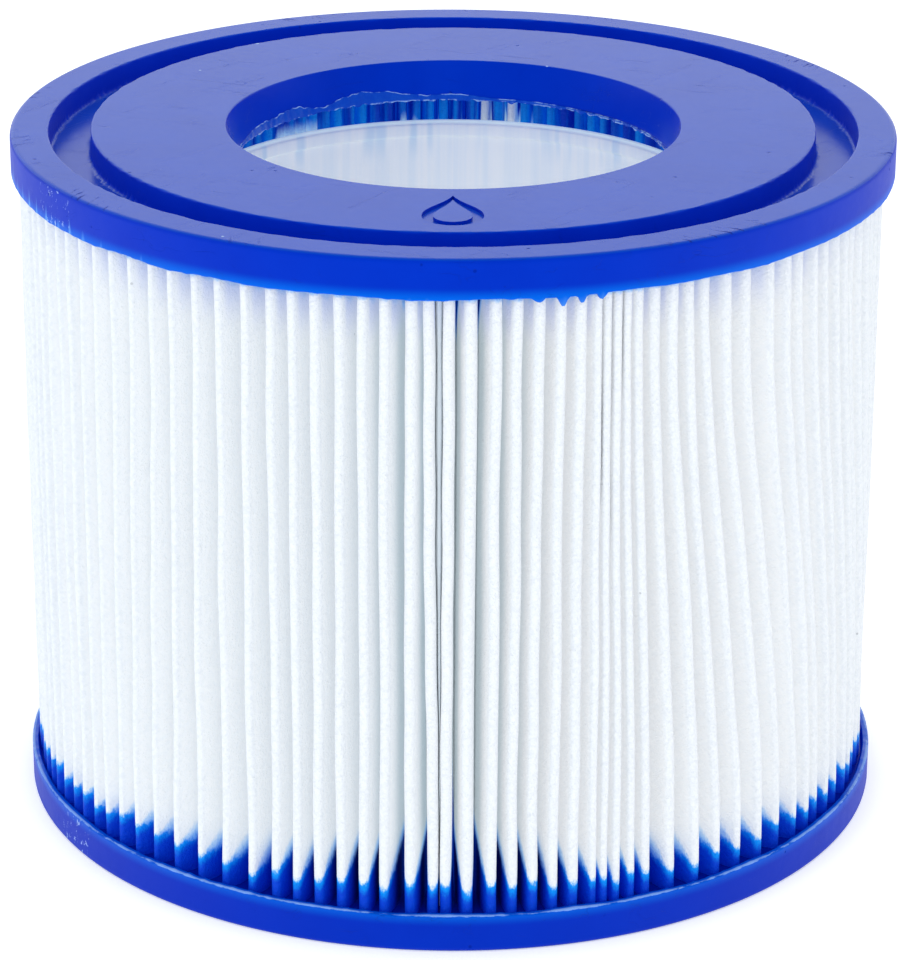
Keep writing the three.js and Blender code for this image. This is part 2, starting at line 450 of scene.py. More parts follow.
def core_plastic():
    """Frosted white plastic, with the pleats behind it shown as soft upright streaks of painted light
    and shade.

    Blue tongues hang from its open end, and its rim has a painted glow, a painted highlight along its
    top edge.
    """
    graph = Graph("core_plastic")
    along = graph.round_trip()
    down = graph.minus(CORE_TOP, graph.z)
    # Painted light and shade: upright streaks stand in for the pleats seen through the frosted wall.
    painted_see_through = graph.noise(graph.stretched((0.34, 0.0, 0.012), vector=along), detail=3.0, roughness=0.6)
    colour = graph.blend(graph.rise(painted_see_through, 0.3, 0.7), (0.85, 0.915, 0.98, 1), (0.97, 0.985, 1.0, 1))
    stain = graph.noise(graph.stretched((0.20, 0.0, 0.02), vector=along))
    tongues = graph.times(graph.rise(stain, 0.53, 0.66), graph.rise(down, 6.0, 1.5), 0.4)
    colour = graph.blend(tongues, colour, (0.36, 0.62, 0.90, 1))
    # Painted glow: emission along the rim's top edge stands in for a highlight there.
    painted_glow = graph.blend(graph.rise(down, 0.5, 0.2), (0.0, 0.0, 0.0, 1), (0.8, 1.0, 0.75, 1))
    grain = graph.noise(graph.place, scale=2.2, detail=3.0, roughness=0.6)
    graph.set(Base_Color=colour, Roughness=graph.plus(0.3, graph.times(grain, 0.2)), IOR=1.45,
              Emission_Color=painted_glow, Emission_Strength=0.3)
    graph.bump(grain, 0.02)
    return graph.material


def stain_from_below(graph, depth, tone, ragged, seamward):
    """How far inside the stain that rose from the lower cap a place lies, in millimetres.

    The stain rises steeply just behind a crest and then slowly along the wall.
    """
    leftward = graph.rise(graph.x, -12.0, -36.0)
    behind = graph.minus(1.0, graph.math("EXPONENT", graph.times(depth, -1.3)))
    behind = graph.times(behind, graph.minus(1.1, graph.times(leftward, 0.7)))
    along_wall = graph.times(depth, graph.plus(0.26, graph.times(seamward, 0.22)))
    at_crest = graph.plus(2.0, graph.times(graph.plus(seamward, leftward), 0.7))
    climb = graph.plus(behind, along_wall, graph.times(tone, 0.6), at_crest, ragged)
    return graph.minus(climb, graph.minus(graph.z, CAP_THICKNESS))


def stain_from_above(graph, depth, tone, ragged, inner, strands, core_side, below):
    """How far inside the stain that sank from the upper cap a place lies, in millimetres.

    It is shallow at the crests. It runs far down the inner folds, but for two dry ones.
    """
    slow = graph.noise(graph.stretched((-0.12, 0.12, 0.0)), detail=1.0)
    deepest = graph.plus(4.2, graph.times(graph.rise(slow, 0.38, 0.46), 2.8))
    reach = graph.rise(graph.plus(strands, graph.times(tone, 0.12)), 0.0, 0.18)
    dry_folds = [graph.rise(graph.away(graph.x, centre), half_width, half_width - 0.3)
                 for centre, half_width in DRY_FOLDS]
    dry = graph.times(graph.most(*dry_folds), graph.rise(graph.y, 0.0, 10.0))
    soaked = graph.times(reach, deepest, graph.minus(1.0, dry))
    within = graph.times(core_side, graph.rise(depth, 15.0, 11.0), 9.0)
    fall = graph.plus(graph.times(inner, soaked), 0.25, graph.times(ragged, 0.4), within)
    return graph.minus(fall, below)


def felt_blue(graph, depth, wet, seamward, inner, strands):
    """Stained felt: light at the edge of the stain, darkened by painted shade in the valleys, striped
    inside.
    """
    blue = graph.blend(graph.rise(wet, 0.0, 1.6), (0.0, 0.32, 0.98, 1), (0.0, 0.060, 0.68, 1))
    # Painted shade: darker deep in the valleys, most of all near the seam.
    painted_valley_shade = graph.plus(0.2, graph.times(seamward, 0.75))
    painted_valley_shade = graph.times(graph.rise(depth, 0.5, 4.0), painted_valley_shade)
    blue = graph.blend(painted_valley_shade, blue, (0.0, 0.006, 0.15, 1))
    stripes = graph.rise(strands, 0.35, 0.65)
    return graph.blend(inner, blue,
                       graph.blend(stripes, (0.0, 0.045, 0.54, 1), (0.0, 0.26, 0.85, 1)))


def felt_white(graph, depth, fibre, below, soft_wet):
    """Clean felt, its walls painted brighter than its crests as painted light. A painted shadow
    greys it deep in the valleys by the seam, painted shade and painted blue bounce light tinge
    it under the upper cap, and it is tinged blue next to resin.
    """
    fibres = graph.rise(fibre, 0.36, 0.60)
    # Painted light: the walls are whiter than the crests, standing in for light that passes through the
    # felt.
    crest_white = graph.blend(fibres, (0.85, 0.88, 0.92, 1), (0.93, 0.95, 0.97, 1))
    painted_bright_wall = graph.blend(fibres, (0.95, 0.97, 0.99, 1), (0.99, 0.996, 1.0, 1))
    white = graph.blend(graph.rise(depth, 0.1, 0.9), crest_white, painted_bright_wall)
    by_seam = graph.rise(graph.math("ABSOLUTE", graph.x), 13.0, 3.0)
    shadow = graph.times(graph.rise(depth, 1.0, 5.0), by_seam, 0.55)
    white = graph.blend(shadow, white, (0.55, 0.66, 0.70, 1))
    # Painted shade and painted blue bounce light from the upper cap, on the felt just under it.
    painted_shade_under_cap = graph.times(graph.rise(below, 7.0, 0.0), graph.rise(depth, 0.3, 1.5), 0.8)
    white = graph.blend(painted_shade_under_cap, white, (0.68, 0.73, 0.96, 1))
    halo = graph.times(graph.rise(soft_wet, -1.8, -0.2), 0.7)
    white = graph.blend(halo, white, (0.30, 0.62, 1.0, 1))
    specks = graph.times(graph.dots(scale=0.28, size=(0.03, 0.06), share=0.1), 0.5)
    return graph.blend(specks, white, (0.35, 0.36, 0.38, 1))


def media_felt():
    """White non-woven felt, stained blue where resin has wicked into it from the caps."""
    graph = Graph("media_felt")
    depth, tone = graph.attribute("crest_depth"), graph.attribute("pleat_tone")
    core_side = graph.attribute("core_side")
    edge = graph.noise(graph.stretched((2.6, 2.6, 1.6)), detail=3.0, roughness=0.7)
    ragged = graph.times(graph.minus(edge, 0.5), 1.5)
    strands = graph.noise(graph.stretched((0.5, 0.5, 0.06)))
    seamward = graph.rise(graph.math("ABSOLUTE", graph.x), 26.0, 8.0)
    inner = graph.most(graph.rise(depth, 4.0, 9.0), core_side)
    below = graph.minus(HEIGHT - CAP_THICKNESS, graph.z)
    wet = graph.most(
        stain_from_below(graph, depth, tone, ragged, seamward),
        stain_from_above(graph, depth, tone, ragged, inner, strands, core_side, below))
    softness = graph.plus(0.25, graph.times(graph.rise(depth, 0.2, 2.5), 0.8))
    soft_wet = graph.math("DIVIDE", wet, softness)
    stained = graph.rise(soft_wet, -0.6, 1.0)

    one_way = graph.noise(graph.stretched((2.4, 2.4, 0.45), (0.7, 0.6, 0)), detail=3.0, roughness=0.7)
    other_way = graph.noise(graph.stretched((2.2, 2.2, 0.4), (-0.8, -0.7, 0)), detail=3.0, roughness=0.7)
    fibre = graph.times(graph.plus(one_way, other_way), 0.5)
    fine = graph.noise(graph.place, scale=5.5, roughness=0.7)
    white = felt_white(graph, depth, fibre, below, soft_wet)
    blue = felt_blue(graph, depth, wet, seamward, inner, strands)
    graph.set(Base_Color=graph.blend(stained, white, blue),
              Roughness=graph.minus(0.92, graph.times(stained, 0.45)),
              IOR=1.4, Specular_IOR_Level=0.15)
    graph.bump(graph.plus(fibre, graph.times(fine, 0.3)), 0.3)
    return graph.material


def seam_adhesive():
    """Dull, milky hot-melt adhesive."""
    graph = Graph("seam_adhesive")
    lumps = graph.noise(graph.place, scale=1.1, detail=3.0, roughness=0.6)
    graph.set(Base_Color=graph.blend(lumps, (0.76, 0.84, 0.90, 1), (0.88, 0.94, 0.98, 1)),
              Roughness=0.45, IOR=1.45)
    graph.bump(lumps, 0.1)
    return graph.material


# End caps ----------------------------------------------------------------------------------


def rounded_section(corners, steps):
    """Radius and height of a closed section with rounded corners, at each angle round the axis.

    A corner is [radius, height, rounding], and each of these may vary round the axis. One more
    point on each of its sides, FLAT_FROM times as far from the corner as the rounding's end is,
    keeps that side's shading flat.
    """
    middle = np.array([[np.mean(r), np.mean(z)] for r, z, _ in corners])
    radii, heights = [], []
    for index, (radius, height, rounding) in enumerate(corners):
        to_last = middle[index - 1] - middle[index]
        to_next = middle[(index + 1) % len(corners)] - middle[index]
        to_last /= np.linalg.norm(to_last)
        to_next /= np.linalg.norm(to_next)
        half = math.acos(np.clip(to_last @ to_next, -1, 1)) / 2
        inward = (to_last + to_next) / np.linalg.norm(to_last + to_next)
        centre = inward / math.sin(half)
        start, end = to_last / math.tan(half) - centre, to_next / math.tan(half) - centre
        turn = math.atan2(start[0] * end[1] - start[1] * end[0], start @ end)
        hold = FLAT_FROM / math.tan(half)
        offsets = [to_last * hold]
        for step in range(steps + 1):
            angle = turn * step / steps
            cos, sin = math.cos(angle), math.sin(angle)
            spoke = np.array([start[0] * cos - start[1] * sin, start[0] * sin + start[1] * cos])
            offsets.append(centre + spoke)
        offsets.append(to_next * hold)
        for offset in offsets:
            radii.append(radius + rounding * offset[0] + np.zeros(CAP_STEPS))
            heights.append(height + rounding * offset[1] + np.zeros(CAP_STEPS))
    return np.array(radii), np.array(heights)


def cap_corners(angle, drip_angle, rng):
    """The corners of an end cap that lies on its outer face, with its uneven cast edges."""
    lip = CAP_THICKNESS - 0.05 + 0.06 * ripple(angle, rng, 3, 40, 10)
    drips = np.maximum(ripple(angle, rng, 90, 170, 12), 0)
    lip = lip + drips * (0.04 + 0.5 * hump(wrapped(angle), drip_angle, 4.5))
    outer_rough = 0.35 + 0.22 * np.abs(ripple(angle, rng, 60, 190, 12))
    inner_rough = 0.35 + 0.22 * np.abs(ripple(angle, rng, 60, 190, 12))
    nick = 0.22 + 0.05 * ripple(angle, rng, 10, 120, 12)
    return [
        [CAP_RADIUS, 0.0, 0.50],
        [CAP_RADIUS, lip, 0.18],
        [LIP_INNER_RADIUS, lip, 0.12],
        [LIP_INNER_RADIUS - 0.2, POOL_LEVEL, 0.1],
        [FOLD_RADIUS - 1.5, POOL_LEVEL, 0.1],
        [BORE_THROAT_RADIUS, CAP_THICKNESS, 0.18],
        [BORE_MOUTH_RADIUS, 0.0, 0.16],
        [CHANNEL_INNER_RADIUS, 0.0, np.clip(nick, 0.08, 0.4)],
        [CHANNEL_INNER_RADIUS, CHANNEL_DEPTH, inner_rough],
        [CHANNEL_OUTER_RADIUS, CHANNEL_DEPTH, outer_rough],
        [CHANNEL_OUTER_RADIUS, 0.0, np.clip(nick[::-1], 0.08, 0.4)],
    ]


def end_cap(name, node, material, upturned, drip_angle, crests, seed):
    """A cast cap whose band has a painted glow, mostly at the left, over the crests given."""
    rng = np.random.default_rng(seed)
    angle = np.arange(CAP_STEPS) * 360 / CAP_STEPS
    radius, height = rounded_section(cap_corners(angle, drip_angle, rng), CORNER_STEPS)
    if upturned:
        radius, height = radius[::-1], HEIGHT - height[::-1]
    points = placed(angle[None, :], radius, height)
    faces = ring_faces(len(radius), CAP_STEPS, close_rows=True)
    cap = add_piece(name, points, faces, material, [node])
    # Painted glow of light through the band over each crest, strongest at the left front.
    painted_glow = np.zeros(CAP_STEPS)
    for crest in crests:
        painted_glow += rng.uniform(0.3, 1.0) * hump(wrapped(angle - crest), 0, 0.26)
    leftward = smooth(-wrapped(angle), 25, 75)
    in_front = smooth(wrapped(angle), -150, -110)
    painted_glow = painted_glow * (0.12 + 0.88 * leftward * in_front)
    store(cap, "crest_glow", np.tile(painted_glow, len(radius)))
    return cap


def drop_outline(length, width, count):
    """A water drop with its round end towards -Y and its centre of roundness at the origin."""
    around = np.linspace(np.pi, 2 * np.pi, count)
    round_end = width / 2 * np.stack([np.cos(around), np.sin(around)], -1)
    side = np.linspace(0, 1, count)[1:, None]
    start, tip = np.array([width / 2, 0.0]), np.array([0.0, length - width / 2])
    pull_start, pull_tip = start + [0, 0.45 * width], tip * 0.55 + [0.15 * width, 0]
    curve = ((1 - side) ** 3 * start + 3 * side * (1 - side) ** 2 * pull_start
             + 3 * side**2 * (1 - side) * pull_tip + side**3 * tip)
    mirror = curve[-2:0:-1] * [-1, 1]
    return np.concatenate([round_end, curve, mirror])


def cut_mark(cap):
    """Sinks the outline of a water drop into the ring between the channel and the bore."""
    centre = [0.0, -MARK_RADIUS - MARK_LENGTH / 2 + MARK_WIDTH / 2]
    inner_length, inner_width = MARK_LENGTH - 2.2 * MARK_STROKE, MARK_WIDTH - 2 * MARK_STROKE
    outer = drop_outline(MARK_LENGTH, MARK_WIDTH, MARK_STEPS) + centre
    inner = drop_outline(inner_length, inner_width, MARK_STEPS) + centre
    count = len(outer)
    loops = []
    for outline, level in ((outer, -1), (outer, 1), (inner, 1), (inner, -1)):
        heights = np.full((count, 1), HEIGHT + level * MARK_DEPTH)
        loops.append(np.hstack([outline, heights]))
    mesh = bpy.data.meshes.new("mark_cutter")
    points = np.concatenate(loops) * MM
    mesh.from_pydata(points.tolist(), [], ring_faces(4, count, close_rows=True))
    cutter = bpy.data.objects.new("mark_cutter", mesh)
    bpy.context.scene.collection.objects.link(cutter)
    cut = cap.modifiers.new("mark", "BOOLEAN")
    cut.operation = "DIFFERENCE"
    cut.solver = "EXACT"
    cut.object = cutter
    apply_modifiers(cap)
    bpy.data.objects.remove(cutter)


def bore_flash(material):
    """A thin torn film of resin that clings to the lower edge of the upper bore.

    Each row of its section is a radius, a height and how near it is to the torn edge.
    """
    rng = np.random.default_rng(31)
    angle = np.arange(CAP_STEPS) * 360 / CAP_STEPS
    bottom = HEIGHT - CAP_THICKNESS
    tall = 0.13 + 1.15 * hump(wrapped(angle - FLASH_ANGLE), 0, FLASH_SPREAD)
    waves = 0.24 * ripple(angle, rng, 4, 22, 8)
    teeth = 0.05 * ripple(angle, rng, 40, 160, 8)
    top = bottom + tall * (1 + waves + teeth)
    top = np.maximum(top, bottom + 0.06)
    taper = (BORE_MOUTH_RADIUS - BORE_THROAT_RADIUS) / CAP_THICKNESS
    in_wall = BORE_THROAT_RADIUS + taper * (top - bottom)
    skin = 0.10 + 0.03 * ripple(angle, rng, 30, 150, 8)
    foot = bottom - 0.18 + 0.07 * ripple(angle, rng, 20, 150, 10)
    rows = [
        (in_wall + 0.1, top + 0.02, 1.0),
        (in_wall - skin, top, 1.0),
        (in_wall - skin, top - 0.12, 0.3),
        (BORE_THROAT_RADIUS - skin, bottom + 0.05, 0.3),
        (BORE_THROAT_RADIUS - skin * 0.8, foot, 1.0),
        (BORE_THROAT_RADIUS + 0.2, foot + 0.05, 0.8),
    ]
    points = np.array([placed(angle, radius, z) for radius, z, _ in rows[::-1]])
    faces = ring_faces(len(rows), CAP_STEPS, close_rows=True)
    flash = add_piece("bore_flash", points, faces, material, [])
    store(flash, "torn_edge", np.repeat([torn for _, _, torn in rows[::-1]], CAP_STEPS))
    shade(flash, 60)
    return flash


# Core tube ---------------------------------------------------------------------------------


def core_levels():
    """Heights of the core's rows of cells, and whether each row has windows."""
    windows_foot = CORE_FOOT + CORE_COLLAR_HEIGHT
    pitch = (CORE_TOP - CORE_COLLAR_HEIGHT - windows_foot + WINDOW_RIB) / WINDOW_ROWS
    levels, open_rows = [CORE_FOOT], [False]
    for row in range(WINDOW_ROWS):
        levels += [windows_foot + row * pitch, windows_foot + (row + 1) * pitch - WINDOW_RIB]
        open_rows += [True, False]
    band_foot = CORE_TOP - CORE_BAND_HEIGHT
    levels += [band_foot - 0.2, band_foot, CORE_TOP - CORE_RIM_CHAMFER, CORE_TOP]
    open_rows += [False, False, False]
    return np.array(levels), open_rows


def core_tube(material):
    """The perforated tube, with a thicker band and a chamfered rim at its open end."""
    levels, open_rows = core_levels()
    window_cells, stave_cells = 12, 4
    share = WINDOW_WIDTH / (2 * math.pi * (CORE_OUTER_RADIUS - CORE_WALL / 2) / WINDOW_COLUMNS)
    steps = np.concatenate([np.linspace(0, share, window_cells + 1)[:-1],
                            np.linspace(share, 1, stave_cells + 1)[:-1]])
    column_angle = 360 / WINDOW_COLUMNS
    angle = np.concatenate([(c + steps) * column_angle for c in range(WINDOW_COLUMNS)])
    columns, rows = len(angle), len(levels)
    inner = np.full(rows, CORE_OUTER_RADIUS - CORE_WALL)
    inner[-3:-1] = CORE_BAND_INNER_RADIUS
    inner[-1] = CORE_BAND_INNER_RADIUS + CORE_RIM_CHAMFER
    outer = np.full(rows, CORE_OUTER_RADIUS)
    outer[-1] = inner[-1] + CORE_RIM_WIDTH
    points = np.concatenate([
        placed(angle[None, :], inner[:, None], levels[:, None]).reshape(-1, 3),
        placed(angle[None, :], outer[:, None], levels[:, None]).reshape(-1, 3),
    ])

    def solid(row, column):
        window = column % (window_cells + stave_cells) < window_cells
        return 0 <= row < rows - 1 and not (open_rows[row] and window)

    faces = []
    outside = rows * columns
    for row in range(rows - 1):
        for column in range(columns):
            if not solid(row, column):
                continue
            after = (column + 1) % columns
            a, b = row * columns + column, row * columns + after
            c, d = b + columns, a + columns
            faces += [(a, d, c, b), (outside + a, outside + b, outside + c, outside + d)]
            if not solid(row - 1, column):
                faces.append((a, b, outside + b, outside + a))
            if not solid(row + 1, column):
                faces.append((d, outside + d, outside + c, c))
            if not solid(row, after):
                faces.append((b, c, outside + c, outside + b))
            if not solid(row, (column - 1) % columns):
                faces.append((a, outside + a, outside + d, d))
    core = add_piece("core_lattice", points, faces, material, ["core_tube"])
    bevel = core.modifiers.new("edges", "BEVEL")
    bevel.width = CORE_EDGE_ROUNDING * MM
    bevel.segments = 3
    bevel.limit_method = "ANGLE"
    bevel.angle_limit = math.radians(40)
    apply_modifiers(core)
    shade(core, 50)
    return core


# Pleated media -----------------------------------------------------------------------------


def pitch_at(angle):
    """Degrees from one crest to the next: wide at the left, bunched in one place at the right."""
    usual = 2.85
    wide_left = 0.75 * hump(angle, -37, 18)
    wide_right = 1.0 * hump(angle, 43, 8)
    wide_between = 0.7 * hump(angle, 28, 3)
    bunched = 1.5 * hump(angle, 21.5, 4.0)
    return usual + wide_left + wide_right + wide_between - bunched


def twist_at(angle):
    """How far a crest drifts round, in degrees, from the top of the strip to its foot.

    The right half leans, in two steps from the front, and straightens again at the back.
    """
    angle = wrapped(angle)
    leaning = 9.4 * smooth(angle, 14, 44) + 2.6 * smooth(angle, 56, 72)
    leaning = leaning * smooth(angle, 175, 75)
    at_left = 1.7 * hump(angle, -43, 10)
    at_seam = 0.7 * hump(angle, LEFT_END_ANGLE, 1)
    return leaning - at_left + at_seam


def crest_radius_at(angle):
    """The crests reach nearly to the caps' edge, and a little nearer at the left."""
    return MEDIA_RADIUS - 0.15 - 0.2 * np.sin(np.radians(angle))


def pressed_at(angle):
    """How flat the pleats were pressed: 1 at the left and falling to 0 elsewhere."""
    return hump(wrapped(angle), -62, 42)


def crest_bend_at(angle):
    """The bend of a crest: sharp where the pleats were pressed, at the left, and open elsewhere."""
    return 0.40 - 0.20 * pressed_at(angle)


def crest_angles(rng):
    """Directions of the crests at mid-height, with the strip's two ends first and last."""
    right, left = [RIGHT_END_ANGLE], [LEFT_END_ANGLE]
    while right[-1] < BACK_START:
        right.append(right[-1] + pitch_at(right[-1] + 1.5) * rng.uniform(0.88, 1.12))
    while left[-1] > -BACK_START:
        left.append(left[-1] - pitch_at(left[-1] - 1.5) * rng.uniform(0.86, 1.14))
    gap = left[-1] + 360 - right[-1]
    count = round(gap / BACK_PITCH)
    back = right[-1] + gap * np.arange(1, count) / count
    back += rng.uniform(-0.3, 0.3, count - 1)
    return np.concatenate([right, back, np.array(left[::-1]) + 360])


def frame_at(angle):
    """Outward and anticlockwise unit vectors at an angle."""
    turn = np.radians(angle)
    outward = np.stack([np.sin(turn), -np.cos(turn)], -1)
    round_way = np.stack([np.cos(turn), np.sin(turn)], -1)
    return outward, round_way


def beside(angle, radius, offset):
    """A point in plan at each level, at an angle and radius and then so far round from there."""
    outward, round_way = frame_at(angle)
    return outward * (radius + 0 * angle)[:, None] + round_way * (offset + 0 * angle)[:, None]


def bend(angle, centre_radius, half_width, start, end, count):
    """An arc in plan at each level, from start to end degrees off the outward direction."""
    points = []
    for turn in np.radians(np.linspace(start, end, count)):
        radius = centre_radius + half_width * math.cos(turn)
        points.append(beside(angle, radius, half_width * math.sin(turn)))
    return points


def swayed(level, rng, amount):
    """A slow seeded waviness with height."""
    waves = rng.uniform(0.7, 2.6, 2)
    starts = rng.uniform(0, 2 * np.pi, 2)
    return amount * (np.sin(2 * np.pi * waves[0] * level + starts[0])
                     + 0.6 * np.sin(2 * np.pi * waves[1] * 2 * level + starts[1]))


def tightest(gaps):
    """For each thing in a row, the smaller of the gaps on its two sides."""
    return np.minimum(np.append(gaps, gaps[-1]), np.insert(gaps, 0, gaps[0]))


def wall_points(valley, fold_way, open_half, pinch, pinch_radius, side, shares):
    """Points along one wall, at shares of the way in from its crest to the pinch radius."""
    points = []
    for share in shares:
        across = pinch + (np.maximum(open_half, pinch) - pinch) * (1 - share) ** 1.6
        radius = MEDIA_RADIUS + (pinch_radius - MEDIA_RADIUS) * share
        centre = valley + (fold_way - valley) * share * 0.5
        points.append(beside(centre, radius, side * across))
    return points


def strip_plan(rng, level):
    """The strip's centreline at each level, with each point's pleat number and each crest's way.

    From each crest the two walls spread until they nearly touch the next pleat's, at the
    pinch radius, and from there they run side by side to the inner folds. The bends and the
    pinches are held within the room at the tightest level, so that no wall crosses another.
    """
    crests = crest_angles(rng)
    count = len(crests)
    drift = smooth(level, 0, 1) - 0.5
    valleys = (crests[1:] + crests[:-1]) / 2
    padded = np.concatenate([valleys[-4:] - 360, valleys, valleys[:4] + 360])
    folds = np.convolve(padded, np.array([1, 2, 3, 4, 5, 4, 3, 2, 1]) / 25, mode="valid")
    room = tightest(np.radians(np.diff(crests)) * MEDIA_RADIUS)
    ways = [crest + twist_at(crest) * drift + swayed(level, rng, SWAY_SHARE * gap)
            for crest, gap in zip(crests, room)]
    fold_ways = [fold + twist_at(fold) * drift * FOLD_TWIST for fold in folds]
    fold_room = tightest(np.radians(np.diff(fold_ways, axis=0)).min(axis=1)) * FOLD_RADIUS
    crest_room = tightest(np.radians(np.diff(ways, axis=0)).min(axis=1))
    valley_room = np.minimum(crest_room[1:], crest_room[:-1])
    half = SHEET_THICKNESS / 2
    plan, owner = [], []

    def put(points, number):
        plan.extend(points)
        owner.extend([number] * len(points))

    for number in range(count):
        way = ways[number]
        crest_bend = crest_bend_at(crests[number]) + rng.uniform(-0.05, 0.05)
        crest_bend = min(crest_bend, BEND_SHARE * crest_room[number] * MEDIA_RADIUS - half)
        crest_bend = max(crest_bend, half + 0.002)
        tip = crest_radius_at(crests[number]) + rng.uniform(-0.18, 0.18) + swayed(level, rng, 0.05)
        middle = tip - crest_bend - half
        if number == 0:
            put([beside(way, MEDIA_RADIUS - END_RETURN, -crest_bend)], number)
        put(bend(way, middle, crest_bend, -90, 90, 7), number)
        if number == count - 1:
            put([beside(way, MEDIA_RADIUS - END_RETURN, crest_bend)], number)
            break
        fold_bend = min(FOLD_BEND, 0.5 * fold_room[number] - half - WALL_CLEARANCE)
        fold_way = fold_ways[number]
        fold_middle = FOLD_RADIUS + rng.uniform(0.0, 0.35) + fold_bend + half
        valley = (way + ways[number + 1]) / 2
        open_half = np.radians(ways[number + 1] - way) / 2 * MEDIA_RADIUS - crest_bend
        pinch = PINCH_GAP + half + rng.uniform(0.0, 0.12)
        pressed = pressed_at(valleys[number])
        pinch_radius = PINCH_RADIUS + (SHALLOW_PINCH_RADIUS - PINCH_RADIUS) * pressed
        pinch = min(pinch, PINCH_SHARE * valley_room[number] * pinch_radius)
        fold = (valley, fold_way, open_half, pinch, pinch_radius)
        put(wall_points(*fold, side=-1, shares=(0.35, 1.0)), number)
        put(bend(fold_way, fold_middle, fold_bend, 270, 90, 4), number)
        put(wall_points(*fold, side=1, shares=(1.0, 0.35)), number + 1)
    return np.stack(plan, 1), np.array(owner), ways


def pleated_media(material):
    """The folded strip; gives back its levels' heights and the way that each crest takes."""
    rng = np.random.default_rng(12)
    level = np.linspace(0, 1, MEDIA_LEVELS)
    z = MEDIA_TOP + (MEDIA_FOOT - MEDIA_TOP) * level
    plan, owner, ways = strip_plan(rng, level)
    along = np.gradient(plan, axis=1)
    along /= np.linalg.norm(along, axis=2, keepdims=True)
    side = np.stack([along[:, :, 1], -along[:, :, 0]], -1) * SHEET_THICKNESS / 2
    loop = np.concatenate([plan + side, (plan - side)[:, ::-1]], axis=1)
    count = loop.shape[1]
    heights = np.broadcast_to(z[:, None, None], (MEDIA_LEVELS, count, 1))
    points = np.concatenate([loop, heights], axis=2)
    faces = ring_faces(MEDIA_LEVELS, count, close_rows=False)
    faces = [face[::-1] for face in faces]
    bottom = (MEDIA_LEVELS - 1) * count
    for step in range(count // 2 - 1):
        back = count - 1 - step
        faces.append((step, step + 1, back - 1, back))
        faces.append((bottom + back, bottom + back - 1, bottom + step + 1, bottom + step))
    media = add_piece("media_pleats", points, faces, material, ["pleated_media"])
    shade(media, 60)

    flat = points.reshape(-1, 3)
    angle = np.degrees(np.arctan2(flat[:, 0], -flat[:, 1]))
    depth = np.maximum(crest_radius_at(angle) - np.hypot(flat[:, 0], flat[:, 1]), 0)
    tones = rng.uniform(-1, 1, owner.max() + 1)[np.concatenate([owner, owner[::-1]])]
    store(media, "crest_depth", depth)
    store(media, "pleat_tone", np.tile(tones, MEDIA_LEVELS))
    store(media, "core_side", np.tile(np.repeat([0, 1], count // 2), MEDIA_LEVELS))

    return z, ways


def media_seam(material, z, ways):
    """The bead of adhesive between the two ends of the strip, set back from their edges."""
    right, left = ways[0], ways[-1] - 360
    crown = SEAM_CROWN_SHARE
    rows = []
    for radius, share in ((SEAM_OUTER_EDGE, 1.0), (SEAM_OUTER_CROWN, crown),
                          (SEAM_OUTER_CROWN, -crown), (SEAM_OUTER_EDGE, -1.0),
                          (SEAM_INNER_EDGE, -1.0), (SEAM_INNER_CROWN, -crown),
                          (SEAM_INNER_CROWN, crown), (SEAM_INNER_EDGE, 1.0)):
        gap = np.maximum(np.radians(right - left) / 2 * radius - SEAM_SETBACK, 0.05)
        rows.append(placed((right + left) / 2 + np.degrees(share * gap / radius), radius, z))
    points = np.stack(rows, 1)
    count = points.shape[1]
    faces = [face[::-1] for face in ring_faces(MEDIA_LEVELS, count, close_rows=False)]
    faces.append(tuple(range(count)))
    faces.append(tuple((MEDIA_LEVELS - 1) * count + step for step in range(count))[::-1])
    seam = add_piece("seam_glue", points, faces, material, ["media_seam"])
    shade(seam, 50)


# Stage -------------------------------------------------------------------------------------


def make_camera():
    """A long lens in front of the cartridge and above it, turned a touch about its own axis."""
    elevation, roll = math.radians(CAMERA_ELEVATION), math.radians(CAMERA_ROLL)
    back = Vector((0.0, -math.cos(elevation), math.sin(elevation)))
    level_right, level_up = Vector((1, 0, 0)), Vector((0, math.sin(elevation), math.cos(elevation)))
    right = math.cos(roll) * level_right + math.sin(roll) * level_up
    up = math.cos(roll) * level_up - math.sin(roll) * level_right
    data = bpy.data.cameras.new("camera")
    data.sensor_width = SENSOR_WIDTH
    data.lens = LENS_LENGTH
    data.clip_start = 0.01
    camera = bpy.data.objects.new("camera", data)
    place = (Vector(CAMERA_AIM) + back * CAMERA_DISTANCE) * MM
    facing = Matrix((right, up, back)).transposed().to_4x4()
    camera.matrix_world = Matrix.Translation(place) @ facing
    bpy.context.scene.collection.objects.link(camera)
    bpy.context.scene.camera = camera


def set_up_light_transport():
    """Plain display, and unshadowed studio light from the second bounce on.

    Felt passes light from pleat to pleat, so its valleys stay pale however deep they are. The
    short ambient distance gives that look without a translucent shader's long paths.
    """
    scene = bpy.context.scene
    scene.view_settings.view_transform = "Standard"
    scene.cycles.use_fast_gi = True
    scene.cycles.fast_gi_method = "REPLACE"
    scene.cycles.ao_bounces_render = 2


def area_light(name, place, size, power):
    """A faintly blue softbox, aimed near the middle of the cartridge."""
    data = bpy.data.lights.new(name, "AREA")
    data.size = size
    data.energy = power
    data.color = (0.93, 0.97, 1.0)
    light = bpy.data.objects.new(name, data)
    light.location = place
    towards = Vector(LIGHT_AIM) - Vector(place)
    light.rotation_euler = towards.to_track_quat("-Z", "Y").to_euler()
    bpy.context.scene.collection.objects.link(light)


